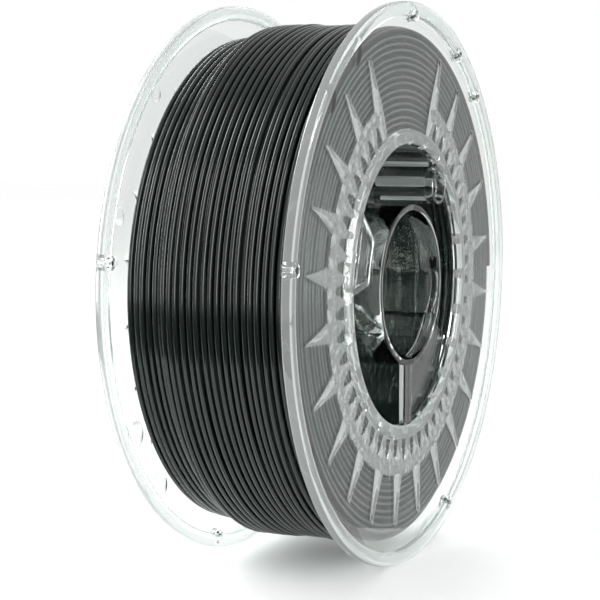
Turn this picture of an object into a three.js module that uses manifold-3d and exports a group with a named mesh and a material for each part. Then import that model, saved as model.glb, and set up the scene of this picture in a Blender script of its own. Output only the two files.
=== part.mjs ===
// Filament spool: two clear moulded halves, back to back on one axis, and the dark
// filament wound on them. Millimetres, +Z up. The spool stands on its two round rims,
// its axis lies along Y, and the origin is the middle of the spindle bore.
// The front half looks towards -Y. The rear half is the same moulding turned end for end.
import * as THREE from 'three';
import { mergeVertices } from 'three/addons/utils/BufferGeometryUtils.js';
import Module from 'manifold-3d';

const wasm = await Module();
wasm.setup();

// Driving dimensions of the spool.
const flangeRadius = 100;
const overallWidth = 70;
const rimDepth = 3.3; // along the axis
const rimInnerRadius = 94.7;
const plateThickness = 1.5;
const boreRadius = 26.6;
const tubeOuterRadius = 28.75;
const barrelInnerRadius = 50;
const barrelOuterRadius = 51.8;
const collarRadius = 54.4; // smooth ring around the hub opening
const openingBevel = 1.5;
const windingRadius = 90.8;
const moulding = 0.3; // gap left between nodes that are one moulding, or touch

// Places along the axis, all on the front half.
const frontFace = -overallWidth / 2;
const plateInside = frontFace + rimDepth;
const plateOutside = plateInside - plateThickness;
const seam = -moulding / 2; // the halves meet at the middle of the spool

// Round solids have a flat facet underneath, so the rims rest without rolling.
const facets = 72;
const facetStep = (2 * Math.PI) / facets;
const toVertex = 1 / Math.cos(facetStep / 2);
const facetSagitta = 0.1; // how far a barrel facet's middle stands inside its corners
const degree = Math.PI / 180;

// Features of each half, by their angle from +X towards +Z.
const turnAxisAngle = 172.5 * degree; // the rear half is turned half a turn about this line
const holeAngles = [172.5, 88, 60, 45, -65]; // holes that park the filament's end
const holeBoss = { circle: 95.9, radius: 3.1, hole: 1.1, length: 1.2, sides: 16 };
const rays = { count: 22, step: 15, first: 113.4, tip: 86.5, halfWidth: 2.6, ridge: 0.8 };
const cells = { inner: 55.2, outer: 67.6, perRay: 2, height: 1.1 };
const slots = { inner: 56.4, outer: 63.4, wide: 4.4, narrow: 1.6 }; // each narrows outwards
const duct = { low: -78, high: -28.5, wall: 2, front: frontFace + 4, panel: 1.6, end: -6 };
const spoke = { angle: -90, width: 6, front: frontFace + 1, thickness: 2.3 };
const tab = { angle: 163.3, tip: 37.3, tipHalf: 8.9, neck: 42.2, neckHalf: 10.6, rootHalf: 14.9 };
const tabDepth = 2.2;
const tabCorner = 2;
const ringBoss = { angle: 52.5, circle: 43, outer: 6.6, inner: 5.4, depth: 3.5, sides: 32 };
const barrelRibs = [
  { angle: 36, width: 1 },
  { angle: 46, width: 4.4 },
  { angle: 59, width: 1.6 },
];
const ribHeight = 1.2;

// Turns a closed ring profile of [radius, y] points about the spool's axis.
function turned(profile, segments = facets) {
  const points = [...profile, profile[0]].map(([r, y]) => new THREE.Vector2(r, y));
  return new THREE.LatheGeometry(points, segments, Math.PI / segments);
}

// A plain ring. Points run up the outside and down the inside, so faces look outwards.
function ring(inner, outer, low, high) {
  return turned([[outer, low], [outer, high], [inner, high], [inner, low]]);
}

// Extrudes a shape drawn in X and Z along the spool's axis, from low to high.
function slab(shape, low, high, curveSegments = 8) {
  const depth = high - low;
  const geometry = new THREE.ExtrudeGeometry(shape, { depth, bevelEnabled: false, curveSegments });
  return geometry.rotateX(Math.PI / 2).translate(0, high, 0);
}

// A round bar or tube along the spool's axis, standing on the +X side.
function post(circle, radius, hole, low, high, sides) {
  const shape = new THREE.Shape(arcPoints(radius, sides));
  if (hole > 0) shape.holes.push(new THREE.Path(arcPoints(hole, sides)));
  return slab(shape, low, high).translate(circle, 0, 0);
}

function arcPoints(radius, sides) {
  return Array.from({ length: sides }, (_, i) => {
    const a = ((i + 0.5) / sides) * 2 * Math.PI;
    return new THREE.Vector2(radius * Math.cos(a), radius * Math.sin(a));
  });
}

// Swings a geometry made on the +X side round the axis to an angle in degrees.
function swung(geometry, angle) {
  return geometry.rotateY(-angle * degree);
}

function toSolid(geometry) {
  geometry.deleteAttribute('normal');
  geometry.deleteAttribute('uv');
  const merged = mergeVertices(geometry, 1e-4);
  return new wasm.Manifold(new wasm.Mesh({
    numProp: 3,
    vertProperties: new Float32Array(merged.attributes.position.array),
    triVerts: new Uint32Array(merged.index.array),
  }));
}

function toGeometry(solid) {
  const mesh = solid.getMesh();
  const geometry = new THREE.BufferGeometry();
  geometry.setAttribute('position', new THREE.BufferAttribute(mesh.vertProperties, 3));
  geometry.setIndex(new THREE.BufferAttribute(mesh.triVerts, 1));
  geometry.computeVertexNormals();
  return geometry;
}

function cutAll(base, cutters) {
  return cutters.reduce((solid, cutter) => solid.subtract(toSolid(cutter)), toSolid(base));
}

// Outer rim of a flange, drilled where the filament's end is parked.
function rim() {
  const { circle, hole, sides } = holeBoss;
  const holes = holeAngles.map((angle) => (
    swung(post(circle, hole, 0, frontFace - 1, plateInside + 1, sides), angle)));
  const outer = flangeRadius * toVertex;
  return toGeometry(cutAll(ring(rimInnerRadius, outer, frontFace, plateInside), holes));
}

// Short drilled boss that stands on the inside of the rim, towards the filament.
function holeBossShape() {
  const { circle, radius, hole, length, sides } = holeBoss;
  const low = plateInside + moulding;
  return post(circle, radius, hole, low, low + length, sides);
}

// Thin plate between the collar and the rim.
function flangePlate() {
  return ring(collarRadius + moulding, rimInnerRadius - moulding, plateOutside, plateInside);
}

// Slotted ring with pointed rays, raised on the outside of the flange plate. It leaves the
// sector between the first and the last ray bare.
function rayRing() {
  const high = plateOutside - moulding;
  const low = high - cells.height;
  const step = rays.step / cells.perRay;
  const outline = new THREE.Shape([
    new THREE.Vector2(slots.inner, -slots.wide / 2),
    new THREE.Vector2(slots.inner, slots.wide / 2),
    new THREE.Vector2(slots.outer, slots.narrow / 2),
    new THREE.Vector2(slots.outer, -slots.narrow / 2),
  ]);
  const last = rays.first + rays.step * (rays.count - 1);
  const bare = sector(last - 360 + step / 2, rays.first - step / 2,
    cells.inner - 1, cells.outer + 1, low - 1, high + 1);
  const cutters = [bare];
  for (let angle = rays.first + step / 2; angle < last; angle += step) {
    cutters.push(swung(slab(outline, low - 1, high + 1), angle));
  }
  let solid = cutAll(ring(cells.inner, cells.outer, low, high), cutters);
  const length = rays.tip - cells.outer + 1;
  for (let i = 0; i < rays.count; i += 1) {
    // A ray is the raised half of a slim four-sided spike that lies on the plate.
    const spike = new THREE.ConeGeometry(1, length, 4);
    spike.rotateZ(-Math.PI / 2).scale(1, rays.ridge, rays.halfWidth);
    spike.translate(rays.tip - length / 2, high, 0);
    solid = solid.add(toSolid(swung(spike, rays.first + rays.step * i)));
  }
  const plate = toSolid(ring(barrelInnerRadius, flangeRadius, high, plateInside));
  return toGeometry(solid.subtract(plate));
}

// Half of the drum that the filament is wound on, with the collar round its mouth.
function barrel() {
  return turned([
    [collarRadius, frontFace],
    [collarRadius, plateInside],
    [barrelOuterRadius, plateInside],
    [barrelOuterRadius, seam],
    [barrelInnerRadius, seam],
    [barrelInnerRadius, frontFace + openingBevel],
    [barrelInnerRadius + openingBevel, frontFace],
  ]);
}

// A wedge of the space round the axis, between two angles in degrees.
function sector(from, to, inner, outer, low, high) {
  const shape = new THREE.Shape();
  shape.absarc(0, 0, outer, from * degree, to * degree, false);
  shape.absarc(0, 0, inner, to * degree, from * degree, true);
  return slab(shape, low, high, 10);
}

// Half of the tube that turns on a spool holder, with a window into the duct.
function spindleTube() {
  const tube = ring(boreRadius * toVertex, tubeOuterRadius, frontFace, seam);
  const window = sector(duct.low, duct.high, boreRadius - 4, tubeOuterRadius + 4,
    duct.front + moulding, duct.end);
  return toGeometry(cutAll(tube, [window]));
}

// Flat panel that closes the front of the duct between the tube and the barrel.
function ductPanel() {
  const clear = 2.8; // degrees, keeps the panel off the duct's two walls
  return sector(duct.low + clear, duct.high - clear, tubeOuterRadius + moulding,
    barrelInnerRadius - moulding, duct.front + moulding, duct.front + moulding + duct.panel);
}

// Straight wall from the tube to the barrel.
function web(width, low, high) {
  const inner = tubeOuterRadius + moulding;
  const length = barrelInnerRadius - moulding - facetSagitta - inner;
  return new THREE.BoxGeometry(length, high - low, width)
    .translate(inner + length / 2, (low + high) / 2, 0);
}

// Flat tongue that reaches into the hub opening from the barrel.
function hubTab() {
  const root = Math.sqrt((barrelInnerRadius - moulding) ** 2 - tab.rootHalf ** 2);
  const shape = new THREE.Shape();
  shape.moveTo(root, -tab.rootHalf);
  shape.lineTo(root, tab.rootHalf);
  shape.lineTo(tab.neck, tab.neckHalf);
  shape.lineTo(tab.tip + tabCorner, tab.tipHalf);
  shape.quadraticCurveTo(tab.tip, tab.tipHalf, tab.tip, tab.tipHalf - tabCorner);
  shape.lineTo(tab.tip, tabCorner - tab.tipHalf);
  shape.quadraticCurveTo(tab.tip, -tab.tipHalf, tab.tip + tabCorner, -tab.tipHalf);
  shape.lineTo(tab.neck, -tab.neckHalf);
  return slab(shape, frontFace, frontFace + tabDepth, 3);
}

// Thin ring beside the barrel wall.
function ringBossShape() {
  const { circle, outer, inner, depth, sides } = ringBoss;
  return post(circle, outer, inner, frontFace, frontFace + depth, sides);
}

// Stiffening rib that runs along the inside of the barrel.
function barrelRib(width) {
  const outer = barrelInnerRadius - moulding - facetSagitta;
  const low = frontFace + ringBoss.depth + moulding;
  const length = duct.end - low;
  return new THREE.BoxGeometry(ribHeight, length, width)
    .translate(outer - ribHeight / 2, low + length / 2, 0);
}

// The wound filament as one ring. Its last turns sit lower against the rear flange.
function filamentWinding() {
  const end = -plateInside - moulding;
  const core = barrelOuterRadius + moulding;
  return turned([
    [windingRadius - 0.6, -end],
    [windingRadius, 3 - end],
    [windingRadius, end - 7],
    [windingRadius - 2, end],
    [core, end],
    [core, -end],
  ]);
}

const clearPlastic = { color: 0xe4e9e7, roughness: 0.12, metalness: 0, opacity: 0.3 };
const darkFilament = { color: 0x2e3231, roughness: 0.32, metalness: 0, opacity: 1 };

function addNode(group, name, geometry, look, angle = 0) {
  const material = new THREE.MeshStandardMaterial({ ...look, transparent: look.opacity < 1 });
  const mesh = new THREE.Mesh(geometry, material);
  mesh.name = name;
  mesh.rotation.y = -angle * degree;
  group.add(mesh);
}

function half(side) {
  const group = new THREE.Group();
  const add = (name, geometry, angle) => addNode(group, `${side}_${name}`, geometry, clearPlastic, angle);
  add('rim', rim());
  add('flange_plate', flangePlate());
  add('ray_ring', rayRing());
  add('barrel', barrel());
  add('spindle_tube', spindleTube());
  add('duct_panel', ductPanel());
  add('duct_wall_low', web(duct.wall, duct.front, duct.end), duct.low);
  add('duct_wall_high', web(duct.wall, duct.front, duct.end), duct.high);
  add('spoke', web(spoke.width, spoke.front, spoke.front + spoke.thickness), spoke.angle);
  add('hub_tab', hubTab(), tab.angle);
  add('ring_boss', ringBossShape(), ringBoss.angle);
  barrelRibs.forEach(({ angle, width }, i) => add(`barrel_rib_${i + 1}`, barrelRib(width), angle));
  holeAngles.forEach((angle, i) => add(`hole_boss_${i + 1}`, holeBossShape(), angle));
  return group;
}

const spool = new THREE.Group();
const rear = half('rear');
rear.quaternion.setFromAxisAngle(
  new THREE.Vector3(Math.cos(turnAxisAngle), 0, Math.sin(turnAxisAngle)), Math.PI);
spool.add(half('front'), rear);
addNode(spool, 'filament_winding', filamentWinding(), darkFilament);

export default spool;
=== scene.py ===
# Clear filament spool wound with dark filament, standing on its two rims.
# Metres, +Z up, the spool's axis along Y. The front half looks towards -Y.
import math

import bmesh
import bpy
import numpy as np
from mathutils import Matrix, Vector


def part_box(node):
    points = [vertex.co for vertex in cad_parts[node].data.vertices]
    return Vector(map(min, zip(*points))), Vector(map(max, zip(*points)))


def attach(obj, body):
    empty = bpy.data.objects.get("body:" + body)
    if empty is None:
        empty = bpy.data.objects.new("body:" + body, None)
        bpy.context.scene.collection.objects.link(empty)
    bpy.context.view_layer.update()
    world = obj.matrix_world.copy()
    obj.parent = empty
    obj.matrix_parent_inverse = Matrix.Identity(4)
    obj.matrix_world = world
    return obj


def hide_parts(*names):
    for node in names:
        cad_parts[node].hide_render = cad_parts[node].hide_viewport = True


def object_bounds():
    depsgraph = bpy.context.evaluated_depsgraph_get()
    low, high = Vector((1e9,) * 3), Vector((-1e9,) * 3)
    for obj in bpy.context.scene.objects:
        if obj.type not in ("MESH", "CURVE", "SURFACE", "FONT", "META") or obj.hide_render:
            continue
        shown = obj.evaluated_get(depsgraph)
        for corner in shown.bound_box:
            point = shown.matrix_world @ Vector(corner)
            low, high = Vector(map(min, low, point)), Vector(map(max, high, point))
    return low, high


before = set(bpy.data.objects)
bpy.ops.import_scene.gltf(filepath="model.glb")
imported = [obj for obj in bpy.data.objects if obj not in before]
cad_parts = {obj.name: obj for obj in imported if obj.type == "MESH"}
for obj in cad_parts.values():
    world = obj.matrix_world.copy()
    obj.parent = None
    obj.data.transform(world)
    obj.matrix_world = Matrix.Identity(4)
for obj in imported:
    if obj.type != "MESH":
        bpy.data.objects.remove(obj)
cadLow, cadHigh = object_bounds()
nodeNames = sorted(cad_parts)
mm = 0.001
rng = np.random.default_rng(7)

# Where the frame puts the spool's main surfaces, in millimetres.
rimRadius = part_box("front_rim")[1].z / mm
outerFace = -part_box("front_rim")[0].y / mm
innerFace = -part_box("front_rim")[1].y / mm
plateFace = -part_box("front_flange_plate")[0].y / mm
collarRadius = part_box("front_barrel")[1].x / mm
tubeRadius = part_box("front_spindle_tube")[1].x / mm
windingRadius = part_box("filament_winding")[1].x / mm
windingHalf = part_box("filament_winding")[1].y / mm


def linear(hexColour):
    # sRGB hex to linear RGBA
    srgb = np.array([int(hexColour[i:i + 2], 16) / 255 for i in (1, 3, 5)])
    rgb = np.where(srgb <= 0.04045, srgb / 12.92, ((srgb + 0.055) / 1.055) ** 2.4)
    return (*rgb, 1.0)


def addNode(tree, kind, settings=None, links=None):
    # settings go to a socket by its name or number, or else to the node's own property
    node = tree.nodes.new(kind)
    for key, value in (settings or {}).items():
        if isinstance(key, str) and hasattr(node, key):
            setattr(node, key, value)
        else:
            node.inputs[key].default_value = value
    for key, socket in (links or {}).items():
        tree.links.new(socket, node.inputs[key])
    return node


def newMaterial(name):
    material = bpy.data.materials.new(name)
    material.use_nodes = True
    material.node_tree.nodes.clear()
    return material, material.node_tree


def rampNode(tree, factor, low, high):
    # a colour ramp with two stops, each a position and a colour
    ramp = addNode(tree, "ShaderNodeValToRGB", {}, {0: factor})
    for stop, (position, colour) in zip(ramp.color_ramp.elements, (low, high)):
        stop.position = position
        stop.color = colour
    return ramp


def makeMesh(name, points, faces, materials, smooth=True, uv=None, index=0):
    # points in millimetres, faces as lists of corners, index the faces' place in the materials
    mesh = bpy.data.meshes.new(name)
    mesh.from_pydata((points * mm).tolist(), [], faces)
    mesh.polygons.foreach_set("use_smooth", np.broadcast_to(smooth, len(faces)))
    if uv is not None:
        layer = mesh.uv_layers.new(name="alongStrand")
        layer.data.foreach_set("uv", uv.ravel())
    for material in materials:
        mesh.materials.append(material)
    mesh.polygons.foreach_set("material_index", np.broadcast_to(index, len(faces)).astype(np.int32))
    mesh.update()
    piece = bpy.data.objects.new(name, mesh)
    bpy.context.scene.collection.objects.link(piece)
    return piece


def gridFaces(rows, columns, wrapRows=True):
    # quads of a grid whose columns close on themselves, and whose rows may
    i = np.arange(rows if wrapRows else rows - 1)[:, None]
    j = np.arange(columns)[None, :]
    i2, j2 = (i + 1) % rows, (j + 1) % columns
    corners = [i * columns + j, i2 * columns + j, i2 * columns + j2, i * columns + j2]
    return np.stack(np.broadcast_arrays(*corners), -1).reshape(-1, 4)


clearLook = {
    "tint": "#f4f8f6",
    "ior": 1.55,
    "roughness": 0.02,
    "satinTint": "#e2e7e5",
    "satinRoughness": 0.05,
    "satinClearness": 0.72,  # share that the satin parts let through
    "flowWave": 14.0,       # mm, slow waves that moulding leaves in the surface
    "waveDepth": 0.02,      # mm
}

filamentLook = {
    "dark": "#101514",
    "light": "#181f1d",
    "scuffedDark": "#40514e",  # where the turns rub along the flange
    "scuffedLight": "#6a6a66",
    "paintedFlankShade": "#141918",     # painted shade on those turns' flanks, for the dark gaps between them
    "endDiameter": 1.45,    # mm, of those turns, squeezed a little against the flange
    "roughnessLow": 0.1,
    "roughnessHigh": 0.18,
    "streakLength": 30.0,   # mm along the strand
    "dieLine": 0.25,        # mm across the strand, drawn coarser than the real die lines
    "lineDepth": 0.01,      # mm
}


shot = {
    "azimuth": -64.54,      # degrees, 0 looks along +Y
    "elevation": 5.86,
    "place": (-0.5858, -0.2698, 0.0593),
    "lens": 106.5,          # mm on a 36 mm wide sensor
}

studio = {
    "tableFront": -0.225,     # X of the table's front edge
    "tableRight": -0.12,    # Y of its right edge
    "tableTurn": (0.02, 0.045, -0.052),  # X where that edge turns in, X where it ends, and its Y there
    "tableReach": 3.0,      # how far it goes the other way, along X and Y
    "backdrop": 1.0,        # brightness of the white surroundings
    "room": 0.8,            # brightness of the rest of the room, as glossy surfaces see it
    "rightWall": 0.58,
    "fill": 0.46,           # what matt surfaces get from all round
    "deep": 0.22,           # what is left of them for light that has bounced seven times or more
    "darkBand": 0.03,       # what glossy surfaces see beside the table's front edge
    "leftLight": {"place": (-0.1, 1.1, 0.45), "size": (0.45, 1.4), "watts": 16.0},
    "rightLight": {"place": (-1.0, -0.9, 0.5), "size": (0.45, 1.4), "watts": 20.0},
    "keyPlace": (0.7, 0.55, 0.9),    # direction of the far soft light
    "keyStrength": 2.25,
    "tableGlow": 0.05,              # the table is lit a little from below
    "keyAngle": 48.0,               # degrees, how wide it looks
}


def makeClear(name, tint, roughness, transmission):
    # Crystal polystyrene, injection moulded: clear, slightly grey at its edges, with faint
    # waves where it flowed. Lamps pass straight through it.
    material, tree = newMaterial(name)
    place = addNode(tree, "ShaderNodeTexCoord")
    waves = addNode(tree, "ShaderNodeTexNoise",
                    {"Scale": 1 / (clearLook["flowWave"] * mm), "Detail": 1.0},
                    {"Vector": place.outputs["Object"]})
    bump = addNode(tree, "ShaderNodeBump",
                   {"Strength": 1.0, "Distance": clearLook["waveDepth"] * mm},
                   {"Height": waves.outputs["Fac"]})
    clear = addNode(tree, "ShaderNodeBsdfPrincipled",
                    {"Base Color": linear(tint), "IOR": clearLook["ior"],
                     "Roughness": roughness, "Transmission Weight": transmission},
                    {"Normal": bump.outputs["Normal"]})
    path = addNode(tree, "ShaderNodeLightPath")
    through = addNode(tree, "ShaderNodeBsdfTransparent", {"Color": linear("#e6ebe9")})
    mix = addNode(tree, "ShaderNodeMixShader", {}, {
        0: path.outputs["Is Shadow Ray"], 1: clear.outputs[0], 2: through.outputs[0]})
    addNode(tree, "ShaderNodeOutputMaterial", {}, {"Surface": mix.outputs[0]})
    return material


def makeFilament(name, dark, light, paintedFlankShade=None):
    # Extruded PLA, anthracite: smooth and glossy, with fine die lines that run along the
    # strand and slow changes of gloss where it cooled.
    material, tree = newMaterial(name)
    place = addNode(tree, "ShaderNodeUVMap", {"uv_map": "alongStrand"})
    longWay = addNode(tree, "ShaderNodeMapping",
                      {"Scale": (1 / filamentLook["streakLength"], 1.2, 1.0)},
                      {"Vector": place.outputs[0]})
    streaks = addNode(tree, "ShaderNodeTexNoise", {"Scale": 1.0, "Detail": 3.0},
                      {"Vector": longWay.outputs[0]})
    colour = rampNode(tree, streaks.outputs["Fac"], (0.35, linear(dark)), (0.7, linear(light))).outputs[0]
    if paintedFlankShade:
        # only the side of a turn that faces a flange is rubbed, and the flanks get painted shade for the
        # dark gaps between turns: the sine of the angle round the section, without its sign, is 1 there and
        # 0 on the flanks
        arc = addNode(tree, "ShaderNodeSeparateXYZ", {}, {0: place.outputs[0]})
        angle = addNode(tree, "ShaderNodeMath",
                        {"operation": "DIVIDE", 1: filamentLook["endDiameter"] / 2}, {0: arc.outputs["Y"]})
        sine = addNode(tree, "ShaderNodeMath", {"operation": "SINE"}, {0: angle.outputs[0]})
        size = addNode(tree, "ShaderNodeMath", {"operation": "ABSOLUTE"}, {0: sine.outputs[0]})
        rubAndShadeMask = addNode(tree, "ShaderNodeMapRange",
                         {"From Min": 0.45, "From Max": 0.9, "interpolation_type": "SMOOTHSTEP"},
                         {"Value": size.outputs[0]})
        colour = addNode(tree, "ShaderNodeMix", {"data_type": "RGBA", 6: linear(paintedFlankShade)},
                         {0: rubAndShadeMask.outputs[0], 7: colour}).outputs[2]
    gloss = addNode(tree, "ShaderNodeMapRange",
                    {"From Min": 0.3, "From Max": 0.7, "To Min": filamentLook["roughnessLow"],
                     "To Max": filamentLook["roughnessHigh"]},
                    {"Value": streaks.outputs["Fac"]})
    across = addNode(tree, "ShaderNodeMapping",
                     {"Scale": (0.02, 1 / filamentLook["dieLine"], 1.0)},
                     {"Vector": place.outputs[0]})
    lines = addNode(tree, "ShaderNodeTexNoise", {"Scale": 1.0, "Detail": 1.0},
                    {"Vector": across.outputs[0]})
    bump = addNode(tree, "ShaderNodeBump",
                   {"Strength": 1.0, "Distance": filamentLook["lineDepth"] * mm},
                   {"Height": lines.outputs["Fac"]})
    plastic = addNode(tree, "ShaderNodeBsdfPrincipled", {"IOR": 1.46},
                      {"Base Color": colour, "Roughness": gloss.outputs[0],
                       "Normal": bump.outputs["Normal"]})
    addNode(tree, "ShaderNodeOutputMaterial", {}, {"Surface": plastic.outputs[0]})
    return material


def makeFloor():
    # Matt white paper sweep
    material, tree = newMaterial("whitePaper")
    place = addNode(tree, "ShaderNodeTexCoord")
    grain = addNode(tree, "ShaderNodeTexNoise", {"Scale": 1 / (0.8 * mm), "Detail": 2.0},
                    {"Vector": place.outputs["Object"]})
    colour = rampNode(tree, grain.outputs["Fac"], (0.3, linear("#f8f8f8")), (0.7, linear("#fcfcfc")))
    paper = addNode(tree, "ShaderNodeBsdfPrincipled",
                    {"Roughness": 0.9, "Specular IOR Level": 0.2, "Emission Color": (1, 1, 1, 1),
                     "Emission Strength": studio["tableGlow"]},
                    {"Base Color": colour.outputs[0]})
    addNode(tree, "ShaderNodeOutputMaterial", {}, {"Surface": paper.outputs[0]})
    return material


clearPlastic = makeClear("clearPolystyrene", clearLook["tint"], clearLook["roughness"], 1.0)
# the same plastic where the mould is etched: the collar, the ring and the rays look satin
satinPlastic = makeClear("satinPolystyrene", clearLook["satinTint"], clearLook["satinRoughness"],
                         clearLook["satinClearness"])
plastics = [clearPlastic, satinPlastic]
filamentPla = makeFilament("extrudedPla", filamentLook["dark"], filamentLook["light"])
# the turns against a flange: rubbed where they touch it, with painted shade on their flanks
scuffedAndShadedPla = makeFilament("scuffedAndShadedPla", filamentLook["scuffedDark"], filamentLook["scuffedLight"],
                          filamentLook["paintedFlankShade"])
whitePaper = makeFloor()
print("materials made")

def addCamera():
    data = bpy.data.cameras.new("camera")
    data.sensor_width = 36.0
    data.lens = shot["lens"]
    data.clip_start = 0.01
    camera = bpy.data.objects.new("camera", data)
    camera.location = shot["place"]
    camera.rotation_euler = (math.radians(90 - shot["elevation"]), 0, math.radians(shot["azimuth"]))
    bpy.context.scene.collection.objects.link(camera)
    bpy.context.scene.camera = camera


def addLamp(name, place, size, watts):
    # an area lamp that faces the middle of the spool
    data = bpy.data.lights.new(name, "AREA")
    data.shape = "RECTANGLE"
    data.size, data.size_y = size
    data.energy = watts
    lamp = bpy.data.objects.new(name, data)
    lamp.location = place
    lamp.rotation_euler = (-Vector(place)).to_track_quat("-Z", "Y").to_euler()
    bpy.context.scene.collection.objects.link(lamp)


def addKey():
    # a far, soft light that glossy surfaces don't mirror
    data = bpy.data.lights.new("keyLight", "SUN")
    data.energy = studio["keyStrength"]
    data.angle = math.radians(studio["keyAngle"])
    lamp = bpy.data.objects.new("keyLight", data)
    lamp.rotation_euler = (-Vector(studio["keyPlace"])).to_track_quat("-Z", "Y").to_euler()
    lamp.visible_glossy = False
    bpy.context.scene.collection.objects.link(lamp)


def facing(tree, direction, toward, low, high):
    # rises from 0 to 1 as the direction looked in comes nearer to the one given
    nearness = addNode(tree, "ShaderNodeVectorMath", {"operation": "DOT_PRODUCT", 1: toward},
                       {0: direction})
    ease = addNode(tree, "ShaderNodeMapRange",
                   {"From Min": low, "From Max": high, "interpolation_type": "SMOOTHSTEP"},
                   {"Value": nearness.outputs["Value"]})
    return ease.outputs[0]


def blend(tree, factor, low, high):
    # numbers or sockets, mixed by a factor
    settings = {n: v for n, v in ((2, low), (3, high)) if not hasattr(v, "links")}
    links = {n: v for n, v in ((2, low), (3, high)) if hasattr(v, "links")}
    return addNode(tree, "ShaderNodeMix", settings, {0: factor, **links}).outputs[0]


def addWorld():
    # What the spool mirrors and bends is a white room with a brighter wall behind, a dimmer
    # one on the right and a dark gap under the white by the table's front edge. The camera
    # itself sees plain white, and matt surfaces get an even fill.
    world = bpy.data.worlds.new("studio")
    world.use_nodes = True
    tree = world.node_tree
    tree.nodes.clear()
    look = addNode(tree, "ShaderNodeTexCoord").outputs["Generated"]
    path = addNode(tree, "ShaderNodeLightPath").outputs
    behind = facing(tree, look, (0.9, 0.43, -0.1), 0.7, 0.92)
    right = facing(tree, look, (0.9, -0.43, -0.1), 0.5, 0.9)
    above = facing(tree, look, (0, 0, 1), -0.2, -0.1)
    ahead = facing(tree, look, (1, 0, 0), -0.2, 0.1)
    white = addNode(tree, "ShaderNodeMath", {"operation": "MAXIMUM"}, {0: ahead, 1: above}).outputs[0]
    room = blend(tree, right, studio["room"], studio["rightWall"])
    room = blend(tree, behind, room, studio["backdrop"])
    room = blend(tree, white, studio["darkBand"], room)
    level = blend(tree, path["Is Diffuse Ray"], studio["backdrop"], studio["fill"])
    level = blend(tree, path["Is Glossy Ray"], level, room)
    deep = addNode(tree, "ShaderNodeMapRange",
                   {"From Min": 5.0, "From Max": 7.0, "To Min": 1.0, "To Max": studio["deep"]},
                   {"Value": path["Ray Depth"]})
    strength = addNode(tree, "ShaderNodeMath", {"operation": "MULTIPLY"},
                       {0: level, 1: deep.outputs[0]})
    back = addNode(tree, "ShaderNodeBackground", {"Color": (1, 1, 1, 1)},
                   {"Strength": strength.outputs[0]})
    addNode(tree, "ShaderNodeOutputWorld", {}, {"Surface": back.outputs[0]})
    bpy.context.scene.world = world


def addFloor():
    front, right, far = [studio[key] / mm for key in ("tableFront", "tableRight", "tableReach")]
    level = cadLow.z / mm
    # the right edge turns in behind the spool
    turnStart, turnEnd, edge = studio["tableTurn"]
    outline = [(front, right), (turnStart / mm, right), (turnEnd / mm, edge / mm), (far, edge / mm),
               (far, far), (front, far)]
    corners = np.array([(x, y, level) for x, y in outline])
    makeMesh("floor", corners, [tuple(range(len(outline)))], [whitePaper], smooth=False)


addCamera()
addWorld()
for name in ("leftLight", "rightLight"):
    addLamp(name, **studio[name])
addKey()
addFloor()
bpy.context.scene.view_settings.view_transform = "Standard"
print("camera, light and floor ready")

flange = {
    "rimInner": 94.7,       # where the rim stands up from the plate
    "bevel": 1.5,           # of the hub opening
    "edge": 0.6,            # rounding of the rim
    "barrelInner": 50.0,
    "barrelOuter": 51.8,
    "tubeInner": 26.6,
    "seam": -0.02,
    "turnAngle": 172.5,     # degrees, the line in the seam that one half is turned about
}

rays = {
    "step": 15.0,           # degrees between rays
    "first": 8.4,
    "bare": (5, 6),         # places, counted from the first, that hold no ray
    "foot": 67.6,           # radius where a ray leaves the slotted ring
    "tip": 86.5,
    "halfWidth": 3.7,
    "ridge": 1.1,
    "tipRidge": 0.12,
}

cells = {
    "inner": 55.6,
    "waist": 62.4,          # radius where a diamond is widest
    "end": 66.6,
    "halfAngles": (1.05, 2.8, 0.25),  # of a diamond, at inner, waist and end
    "ridge": 0.85,
    "edge": 0.4,
    "border": 0.6,
    "wall": 0.15,           # degrees that a slot's side wall takes
}
columnsPerHalf = 8          # grid columns from a ray's ridge to half way to the next


def evenOffsets(count=columnsPerHalf):
    return np.arange(count + 1) / count * rays["step"] / 2


def rayOffsets(halfWidth):
    # ridge, middle of the facet, edge, and then evenly on to half way to the next ray
    rest = np.linspace(halfWidth, rays["step"] / 2, columnsPerHalf - 1)
    return np.concatenate([[0, halfWidth / 2], rest])


def cellOffsets(radius):
    # a diamond's ridge, facet and edge, the slot's foot and middle, and the same mirrored
    half = np.interp(radius, (cells["inner"], cells["waist"], cells["end"]), cells["halfAngles"])
    quarter = rays["step"] / 4
    first = [0, half / 2, half, min(half + cells["wall"], quarter - 0.1), quarter]
    return np.array(first + [rays["step"] / 2 - a for a in first[-2::-1]])


def rayHalfAngle(radius):
    run = np.clip((rays["tip"] - radius) / (rays["tip"] - rays["foot"]), 0.015, 1)
    return math.degrees(rays["halfWidth"] * run / radius)


def rayHeights(radius):
    run = (rays["tip"] - radius) / (rays["tip"] - rays["foot"])
    ridge = np.interp(run, (0, 1), (rays["tipRidge"], rays["ridge"])) if run > -0.01 else 0
    heights = np.zeros(columnsPerHalf + 1)
    heights[:2] = ridge, ridge / 2
    return heights


def cellHeights(radius):
    # slots go down to the plate inside the waist, and outside it a facet climbs to the border
    gap = 0 if radius < cells["waist"] + 0.1 else np.interp(
        radius, (cells["waist"], cells["end"]), (cells["edge"], cells["border"]))
    middle = (cells["ridge"] + cells["edge"]) / 2
    first = [cells["ridge"], middle, cells["edge"], gap, gap]
    return np.array(first + first[-2::-1])


def halfSector(radius, kind, state):
    # angles from the ray's ridge and heights over the plate, for one half of one ray's place
    # state: full, edge (the ring stops along this side of the ray) or bare
    if kind == "plain" or state == "bare":
        return evenOffsets(), np.zeros(columnsPerHalf + 1)
    if kind == "ray":
        return rayOffsets(rayHalfAngle(radius)), rayHeights(radius)
    if state == "edge":
        heights = rayHeights(rays["foot"])
        return rayOffsets(math.degrees(rays["halfWidth"] / radius)), heights
    return cellOffsets(radius), cellHeights(radius)


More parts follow.
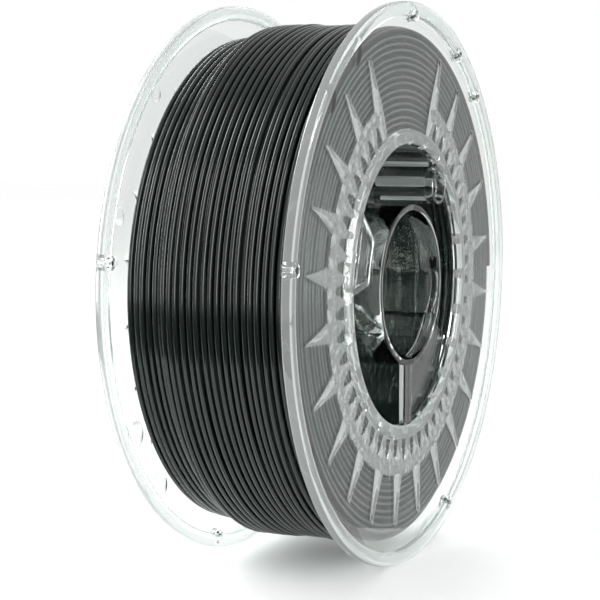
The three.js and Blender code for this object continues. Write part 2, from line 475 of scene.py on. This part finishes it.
def shellRow(radius, y, kind):
    # one closed row of the flange: angle, radius and place along the axis for each column
    places = round(360 / rays["step"])
    first, last = min(rays["bare"]), max(rays["bare"])
    angles, heights = [], []
    for place in range(places):
        centre = rays["first"] + place * rays["step"]
        bare = place in rays["bare"]
        before = "bare" if bare else "edge" if place == last + 1 else "full"
        after = "bare" if bare else "edge" if place == first - 1 else "full"
        offsets, rise = halfSector(radius, kind, before)
        angles.append(centre - offsets[:0:-1])
        heights.append(rise[:0:-1])
        offsets, rise = halfSector(radius, kind, after)
        angles.append(centre + offsets[:-1])
        heights.append(rise[:-1])
    angles = np.radians(np.concatenate(angles))
    across = np.concatenate(heights)
    return np.stack([radius * np.cos(angles), y - across, radius * np.sin(angles)], -1)


def shellProfile():
    # radius, place along the axis, kind of row, and whether the band after it is rounded
    out, inn, plate = -outerFace, -innerFace, -plateFace
    b, rim = flange["bevel"], flange["rimInner"]
    r0, r1, e = flange["barrelInner"], flange["barrelOuter"], flange["edge"]
    c = collarRadius
    rows = [(r0, out + 2.4), (r0 + 0.15 * b, out + 0.9), (r0 + 0.5 * b, out + 0.28), (r0 + b, out),
            (c - 1.2, out), (c, out), (c + 0.3, out + 0.1), (c + 0.42, out + 0.35)]
    rows = [(r, y, "plain", True) for r, y in rows]
    ladder = (cells["inner"], 58.0, 60.2, cells["waist"], cells["waist"] + 0.3, 64.0, 65.3, cells["end"])
    rows += [(r, plate, "cell", False) for r in ladder]
    spread = (rays["foot"] + 0.6, 70.5, 73.0, 76.0, 79.0, 82.0, 84.5, rays["tip"], rays["tip"] + 1.0)
    rows += [(r, plate, "ray", False) for r in spread]
    rows += [(90.5, plate, "plain", False), (rim - 0.4, plate, "plain", True)]
    rest = [(rim, plate - 0.1), (rim + 0.4, out + 0.35), (rim + 0.9, out), (97.5, out),
            (rimRadius - e, out), (rimRadius - 0.3 * e, out + 0.3 * e), (rimRadius, out + e),
            (rimRadius, inn - e), (rimRadius - 0.3 * e, inn - 0.3 * e), (rimRadius - e, inn),
            (97.0, inn), (92.0, inn), (84.0, inn), (75.0, inn), (66.0, inn), (57.0, inn),
            (r1 + 0.6, inn), (r1 + 0.15, inn + 0.15), (r1, inn + 0.6), (r1, -20.0), (r1, -10.0),
            (r1, flange["seam"]), (r0, flange["seam"]), (r0, -10.0), (r0, -20.0), (r0, -28.0)]
    return rows + [(r, y, "plain", True) for r, y in rest]


def makeFlange():
    # the moulding's main skin: a closed profile carried round the axis, with rays and cells
    # raised from its outer face
    rows = shellProfile()
    grid = np.array([shellRow(r, y, kind) for r, y, kind, _ in rows])
    faces = gridFaces(len(rows), grid.shape[1])
    smooth = np.repeat([row[3] for row in rows], grid.shape[1])
    # satin: the collar's rows, the rim's, and whatever stands up from the plate between them
    raised = (np.array([row[1] for row in rows])[:, None] - grid[:, :, 1]).ravel() > 0.04
    satin = raised[faces].any(1)
    satin[:8 * grid.shape[1]] = True
    rimRows = [n for n, row in enumerate(rows) if row[0] > flange["rimInner"]]
    satin[rimRows[0] * grid.shape[1]:rimRows[-1] * grid.shape[1]] = True
    return makeMesh("flange", grid.reshape(-1, 3), faces.tolist(), plastics, smooth, index=satin)


def makeLathe(name, profile, materials, segments=192):
    # a closed profile of radius and place along the axis, carried once round the axis
    profile = np.array(profile)
    angles = np.arange(segments) / segments * 2 * math.pi
    along = np.broadcast_to(profile[:, 1:], (len(profile), segments))
    grid = np.stack([profile[:, :1] * np.cos(angles), along, profile[:, :1] * np.sin(angles)], -1)
    return makeMesh(name, grid.reshape(-1, 3), gridFaces(len(profile), segments).tolist(), materials)


def prismParts(outline, low, high, edge=0.25, angle=0.0):
    # an outline in X and Z carried along the axis, its two ends rounded in by the edge, and
    # turned to an angle. The ends close on the outline's middle.
    outline = np.array(outline, float)
    middle = outline.mean(0)
    reach = np.linalg.norm(outline - middle, axis=1)[:, None]
    levels = [(low, edge), (low + 0.3 * edge, 0.3 * edge), (low + edge, 0),
              (high - edge, 0), (high - 0.3 * edge, 0.3 * edge), (high, edge)]
    rings = [(outline + (middle - outline) / reach * inset, y) for y, inset in levels]
    points = np.concatenate([np.insert(ring, 1, y, axis=1) for ring, y in rings])
    points = np.concatenate([points, [[middle[0], low, middle[1]], [middle[0], high, middle[1]]]])
    count = len(outline)
    faces = gridFaces(len(levels), count, wrapRows=False).tolist()
    last = (len(levels) - 1) * count
    around = np.arange(count)
    after = (around + 1) % count
    first = np.full(count, len(points) - 2)
    faces += np.stack([first, around, after], -1).tolist()
    faces += np.stack([first + 1, last + after, last + around], -1).tolist()
    turn = np.radians(angle)
    x, z = points[:, 0].copy(), points[:, 2].copy()
    points[:, 0] = x * math.cos(turn) - z * math.sin(turn)
    points[:, 2] = x * math.sin(turn) + z * math.cos(turn)
    return points, faces


def circleOutline(centre, radius, sides=32):
    angles = np.arange(sides) / sides * 2 * math.pi
    return np.stack([centre + radius * np.cos(angles), radius * np.sin(angles)], -1)


def sectorOutline(start, stop, inner, outer, steps=24):
    angles = np.radians(np.linspace(start, stop, steps))
    arc = np.stack([np.cos(angles), np.sin(angles)], -1)
    return np.concatenate([outer * arc, inner * arc[::-1]])


def barOutline(inner, outer, width):
    return [(inner, -width / 2), (outer, -width / 2), (outer, width / 2), (inner, width / 2)]


def joined(name, parts, satin=False):
    # several closed bodies that don't touch, as one mesh
    points, faces, start = [], [], 0
    for partPoints, partFaces in parts:
        points.append(partPoints)
        faces += [[corner + start for corner in face] for face in partFaces]
        start += len(partPoints)
    return makeMesh(name, np.concatenate(points), faces, plastics, index=int(satin))


hub = {
    "tab": {"angle": 163.3, "tip": 37.3, "tipHalf": 8.9, "neck": 42.2, "neckHalf": 10.6,
            "root": 50.6, "rootHalf": 14.9, "depth": 2.2, "border": 2.0, "floor": 0.9},
    "ringBoss": {"angle": 52.5, "circle": 43.4, "outer": 6.8, "inner": 5.6, "depth": 3.5},
    "ribs": ((36.0, 1.0), (46.0, 4.4), (59.0, 1.6)),  # angle and width
    "ribHeight": 1.2,
    "deepEnd": -6.0,        # where duct and ribs end inside the barrel
    "duct": {"low": -78.0, "high": -28.5, "wall": 1.6, "front": 4.0, "panel": 1.6},
    "spoke": {"angle": -90.0, "width": 6.0, "front": 1.0, "thickness": 2.3},
    "slots": {"count": 24, "length": 9.8, "low": 1.5, "high": 3.0, "depth": 3.4},
}

parking = {"angles": (172.5, 88.0, 60.0, 45.0, -65.0), "circle": 95.9, "radius": 2.7,
           "hole": 1.1, "stand": 1.0}

marks = {  # plain rings that the mould's inserts leave on the flange's inner face
    "large": {"angles": (119.0, 135.0), "circle": 92.6, "radius": 5.0},
    "small": {"angles": (182.0, 211.0), "circle": 93.4, "radius": 3.1},
    "line": 0.25, "height": 0.06,
}


def tabOutline(inset=0.0):
    # flat tongue with a flared root and rounded corners
    t = hub["tab"]
    corner = 2.0
    tip, half = t["tip"] + inset, t["tipHalf"] - inset
    neckHalf, rootHalf = t["neckHalf"] - inset, t["rootHalf"] - 1.6 * inset
    turn = np.radians(np.linspace(0, 90, 6))
    upper = np.stack([tip + corner - corner * np.sin(turn), half - corner + corner * np.cos(turn)], -1)
    side = np.array([(t["root"] - inset, rootHalf), (t["neck"] + inset, neckHalf)])
    top = np.concatenate([side, upper])
    bottom = top[::-1] * (1, -1)
    return np.concatenate([top, bottom])


def hubParts():
    # closed bodies in groups whose members don't touch each other
    out = -outerFace
    inner, outer = tubeRadius - 0.4, flange["barrelInner"] + 0.6
    duct, spoke, boss, tab = hub["duct"], hub["spoke"], hub["ringBoss"], hub["tab"]
    front = out + duct["front"]
    wall = barOutline(inner, outer, duct["wall"])
    walls = [prismParts(wall, front, hub["deepEnd"], 0.2, duct[side]) for side in ("low", "high")]
    panel = prismParts(sectorOutline(duct["low"], duct["high"], inner, outer), front,
                       front + duct["panel"], 0.1)
    spokeFront = out + spoke["front"]
    clear = [panel, prismParts(tabOutline(), out, out + tab["depth"], 0.4, tab["angle"]),
             prismParts(circleOutline(boss["circle"], boss["outer"], 40), out, out + boss["depth"],
                        0.25, boss["angle"]),
             prismParts(barOutline(inner, outer, spoke["width"]), spokeFront,
                        spokeFront + spoke["thickness"], 0.12, spoke["angle"])]
    satin = []
    ribInner = flange["barrelInner"] - hub["ribHeight"]
    for angle, width in hub["ribs"]:
        satin.append(prismParts(barOutline(ribInner, outer, width), out + boss["depth"] + 0.6,
                                hub["deepEnd"], 0.2, angle))
    for angle in parking["angles"]:
        clear.append(prismParts(circleOutline(parking["circle"], parking["radius"]), out,
                                -innerFace + parking["stand"], 0.3, angle))
    return walls, clear, satin


def markParts():
    # raised rings, as pairs of an outer body and the hole in it
    bodies, holes = [], []
    top = -innerFace
    for kind in ("large", "small"):
        mark = marks[kind]
        for angle in mark["angles"]:
            bodies.append(prismParts(circleOutline(mark["circle"], mark["radius"]), top - 0.2,
                                     top + marks["height"], 0.02, angle))
            holes.append(prismParts(circleOutline(mark["circle"], mark["radius"] - marks["line"]),
                                    top, top + 1.0, 0.02, angle))
    return bodies, holes


def cutParts():
    # what is taken away: parking holes, the ring boss's hole, the tab's recess, collar slots
    out = -outerFace
    boss, tab, slots = hub["ringBoss"], hub["tab"], hub["slots"]
    holes = [prismParts(circleOutline(parking["circle"], parking["hole"], 16), out - 1,
                        -innerFace + parking["stand"] + 1, 0.05, angle) for angle in parking["angles"]]
    holes.append(prismParts(circleOutline(boss["circle"], boss["inner"], 40), out - 1,
                            out + boss["depth"] + 1, 0.05, boss["angle"]))
    holes.append(prismParts(tabOutline(tab["border"]), out - 1, out + tab["floor"], 0.1, tab["angle"]))
    slotBar = barOutline(flange["barrelInner"] - 1, flange["barrelInner"] + slots["depth"], slots["length"])
    step = 360 / slots["count"]
    for place in range(slots["count"]):
        holes.append(prismParts(slotBar, out + slots["low"], out + slots["high"], 0.1, (place + 0.5) * step))
    return holes


def applyBooleans(piece, steps):
    # each step is an operation and the object that it works with, which is then removed
    for operation, tool in steps:
        modifier = piece.modifiers.new(operation.lower(), "BOOLEAN")
        modifier.operation, modifier.object, modifier.solver = operation, tool, "MANIFOLD"
    shape = piece.evaluated_get(bpy.context.evaluated_depsgraph_get())
    mesh = bpy.data.meshes.new_from_object(shape)
    piece.modifiers.clear()
    mesh.set_sharp_from_angle(angle=math.radians(35))
    old = piece.data
    piece.data = mesh
    bpy.data.meshes.remove(old)
    for _, tool in steps:
        oldMesh = tool.data
        bpy.data.objects.remove(tool)
        bpy.data.meshes.remove(oldMesh)
    return piece


def makeTube():
    r0, r1, out = flange["tubeInner"], tubeRadius, -outerFace
    e = 0.35
    tube = makeLathe("tube", [
        (r1, out + e), (r1, -24.0), (r1, -12.0), (r1, flange["seam"]), (r0, flange["seam"]),
        (r0, -12.0), (r0, -24.0), (r0, out + e), (r0 + 0.3 * e, out + 0.3 * e), (r0 + e, out),
        (r1 - e, out), (r1 - 0.3 * e, out + 0.3 * e)], plastics)
    duct = hub["duct"]
    window = joined("window", [prismParts(
        sectorOutline(duct["low"], duct["high"], r0 - 3, r1 + 3, 12),
        -outerFace + duct["front"] + 0.3, hub["deepEnd"], 0.1)])
    return applyBooleans(tube, [("DIFFERENCE", window)])


def makeHalf():
    walls, clear, satin = hubParts()
    bodies, holes = markParts()
    skin = makeFlange()
    steps = [("UNION", joined("clear", clear)), ("UNION", joined("satin", satin, True)),
             ("UNION", makeTube()), ("UNION", joined("walls", walls)),
             ("UNION", joined("marks", bodies)), ("DIFFERENCE", joined("markHoles", holes)),
             ("DIFFERENCE", joined("cuts", cutParts()))]
    return applyBooleans(skin, steps)


frontHalf = makeHalf()
frontHalf.name = "frontMoulding"
turnAngle = math.radians(flange["turnAngle"])
turnLine = Vector((math.cos(turnAngle), 0, math.sin(turnAngle)))
rearHalf = frontHalf.copy()
rearHalf.data = frontHalf.data.copy()
rearHalf.name = "rearMoulding"
bpy.context.scene.collection.objects.link(rearHalf)
rearHalf.data.transform(Matrix.Rotation(math.pi, 4, turnLine))
for piece, side in ((frontHalf, "front_"), (rearHalf, "rear_")):
    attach(piece, "root")
    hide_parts(*[name for name in nodeNames if name.startswith(side)])
print("clear halves made", len(frontHalf.data.polygons), "faces each")

winding = {
    "strand": 1.75,         # mm, diameter of the filament
    "pitch": 2.36,          # mm between turns of the top layer
    "pitchSpread": 0.25,     # how unevenly the turns lie
    "wander": 0.22,         # mm that a turn strays sideways round the spool
    "lift": 0.3,            # mm that a turn rides up or sinks
    "lowerSink": 2.65,      # mm from the top layer's middle to the next one's
    "lowerPitch": 2.1,      # mm between its turns
    "endReach": 2.1,        # mm that the turns against a flange take from the layer beside them
    "layerStep": 2.05,      # mm between the layers' ends against a flange
    "innerPitch": 2.2,      # mm between the turns on the barrel
    # the top layer's height against the CAD's, in mm, at places along the axis
    "riseAt": (-30.0, -25.0, 14.0, 17.5, 26.0, 31.0),
    "rise": (0.0, 1.8, 1.8, -1.9, -1.9, -2.5),
}


def softNoise(length, knots, low, high):
    # smooth random values: cubic easing between evenly spaced random knots
    values = rng.uniform(low, high, knots + 2)
    place = np.linspace(0, knots, length)
    index = np.clip(place.astype(int), 0, knots)
    ease = (1 - np.cos((place - index) * math.pi)) / 2
    return values[index] * (1 - ease) + values[index + 1] * ease


def makeStrand(angles, radii, along, sides, diameter=None, closed=False):
    # a round section carried along a path given by angle, radius and place along the axis
    half = (diameter or winding["strand"]) / 2
    around = np.arange(sides) / sides * 2 * math.pi
    reach = radii[:, None] + half * np.cos(around)
    y = along[:, None] + half * np.sin(around)
    grid = np.stack([reach * np.cos(angles)[:, None], y, reach * np.sin(angles)[:, None]], -1)
    points = grid.reshape(-1, 3)
    faces = gridFaces(len(angles), sides, wrapRows=closed)
    if angles[1] > angles[0]:
        faces = faces[:, ::-1]
    run = np.concatenate([[0], np.cumsum(np.linalg.norm(np.diff(grid[:, 0], axis=0), axis=1))])
    row = faces // sides
    column = faces % sides
    u = run[row]
    if closed:
        u = np.where((row == 0) & (row.max(1, keepdims=True) == len(angles) - 1), run[-1], u)
    v = np.where((column == 0) & (column.max(1, keepdims=True) == sides - 1), sides, column)
    uv = np.stack([u, v / sides * math.pi * 2 * half], -1)
    return points, faces, uv


def strandPiece(name, strands, material, ends=True):
    # several strands as one mesh, each open one closed by a flat end
    points, faces, uv, start = [], [], [], 0
    for strandPoints, strandFaces, strandUv in strands:
        points.append(strandPoints)
        faces.append(strandFaces + start)
        uv.append(strandUv)
        start += len(strandPoints)
    allFaces = np.concatenate(faces).tolist()
    allUv = np.concatenate(uv).reshape(-1, 2)
    piece = makeMesh(name, np.concatenate(points), allFaces, [material], uv=allUv)
    if ends:
        work = bmesh.new()
        work.from_mesh(piece.data)
        open_ = [edge for edge in work.edges if edge.is_boundary]
        bmesh.ops.holes_fill(work, edges=open_)
        work.to_mesh(piece.data)
        work.free()
    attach(piece, "root")
    return piece


def surfaceRadius(y):
    # middle of the top layer's strands: high along the middle and low by the rear flange, plus
    # two sine waves along the axis that make a slow swell
    top = windingRadius - winding["strand"] / 2
    swell = 0.25 * np.sin(y / 6.5) + 0.15 * np.sin(y / 3.1 + 1.0)
    rise = np.interp(y, winding["riseAt"], winding["rise"])
    return top + swell + rise


def topTurns(sink, pitch, steps, sides, direction=1):
    # one strand wound from flange to flange as a helix with uneven turns
    span = windingHalf - winding["strand"] / 2 - (winding["endReach"] if sink else 0)
    turns = int(2 * span / pitch)
    count = turns * steps + 1
    turn = np.linspace(0, turns, count)
    uneven = softNoise(count, turns, -1, 1) * winding["pitchSpread"]
    strayed = softNoise(count, turns * 3, -1, 1) * winding["wander"]
    fade = np.minimum(turn, turns - turn).clip(0, 1)  # no straying at the two ends
    along = -span + 2 * span * turn / turns + (uneven + strayed) * fade
    lifted = softNoise(count, turns * 2, -1, 1) * winding["lift"]
    radii = surfaceRadius(along) - sink + lifted
    return makeStrand(direction * turn * 2 * math.pi, radii, along, sides)


def layerEnds(side):
    # the turns where each layer meets a flange, one ring per layer
    inner = flange["barrelOuter"] + 3.2
    outer = surfaceRadius(side * 30.0) - 2.3
    count = int((outer - inner) / winding["layerStep"])
    steps = 160
    angles = np.arange(steps) / steps * 2 * math.pi
    rings = []
    for radius in np.linspace(inner, outer, count):
        wave = rng.uniform(0, 2 * math.pi, 3)
        stray = 0.16 * np.sin(angles + wave[0]) + 0.1 * np.sin(2 * angles + wave[1])
        depth = windingHalf - winding["strand"] / 2 - 0.1 - 0.25 * (1 + np.sin(3 * angles + wave[2])) / 2
        rings.append(makeStrand(angles, radius + stray, side * depth, 12,
                                filamentLook["endDiameter"], closed=True))
    return rings


def innerTurns():
    radius = flange["barrelOuter"] + 0.35 + winding["strand"] / 2
    span = windingHalf - winding["strand"] / 2
    turns = int(2 * span / winding["innerPitch"])
    turn = np.linspace(0, turns, turns * 120 + 1)
    along = -span + 2 * span * turn / turns
    return makeStrand(turn * 2 * math.pi, np.full(len(turn), radius), along, 8)


def makeCore():
    # what lies under the visible turns, as one dark body
    low = flange["barrelOuter"] + 2.3
    end = windingHalf - 2.2
    y = np.linspace(-end, end, 40)
    sink = winding["lowerSink"] + winding["lift"] + winding["strand"] / 2 + 0.15
    outerSide = [(surfaceRadius(v) - sink, v) for v in y]
    core = makeLathe("windingCore", outerSide + [(low, end), (low, -end)], [filamentPla], 160)
    layer = core.data.uv_layers.new(name="alongStrand")
    layer.data.foreach_set("uv", np.zeros(2 * len(layer.data)))
    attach(core, "root")
    return core


topLayer = strandPiece("topTurns", [topTurns(0.0, winding["pitch"], 160, 12)], filamentPla)
strandPiece("secondLayer", [topTurns(winding["lowerSink"], winding["lowerPitch"], 96, 6, -1)], filamentPla)
strandPiece("frontLayerEnds", layerEnds(-1), scuffedAndShadedPla, ends=False)
strandPiece("rearLayerEnds", layerEnds(1), scuffedAndShadedPla, ends=False)
strandPiece("innerTurns", [innerTurns()], filamentPla)
makeCore()
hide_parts("filament_winding")
print("filament wound")
